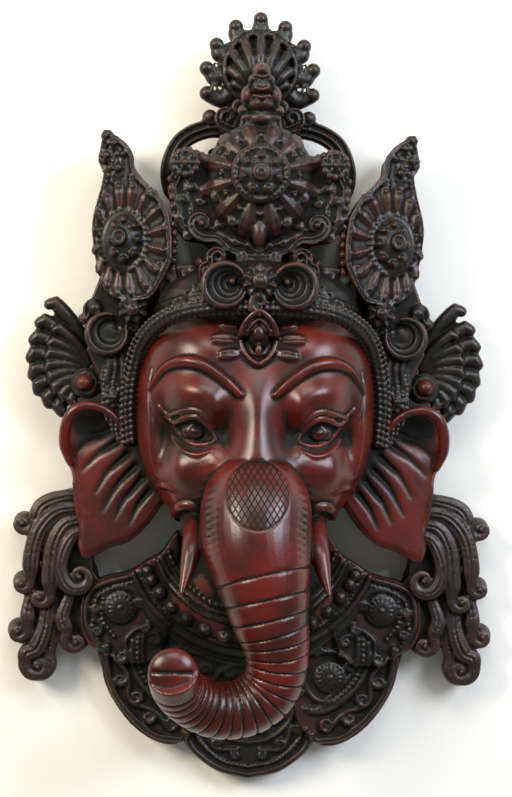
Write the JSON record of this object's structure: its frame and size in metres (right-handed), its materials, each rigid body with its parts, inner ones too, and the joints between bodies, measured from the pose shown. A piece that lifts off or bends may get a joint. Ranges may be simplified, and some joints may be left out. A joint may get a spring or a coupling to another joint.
{
  "type": "elephant mask",
  "caption": "Cast wall mask of a crowned elephant-headed deity with curled trunk, tusks, spread ears, scrolling shoulder locks and a collared chest.",
  "frame": {"origin": "centre of the bounding box at the level of the flat back", "axes": "+X to the viewer's right, +Y towards the crown, +Z out of the face"},
  "size_m": [0.3239, 0.508, 0.147],
  "materials": {
    "lacquered_resin": "cast resin under red-brown lacquer, with a black antiquing wash in the hollows and over the crown"
  },
  "bodies": {
    "root": {"elephant_mask": "lacquered_resin"}
  },
  "joints": []
}
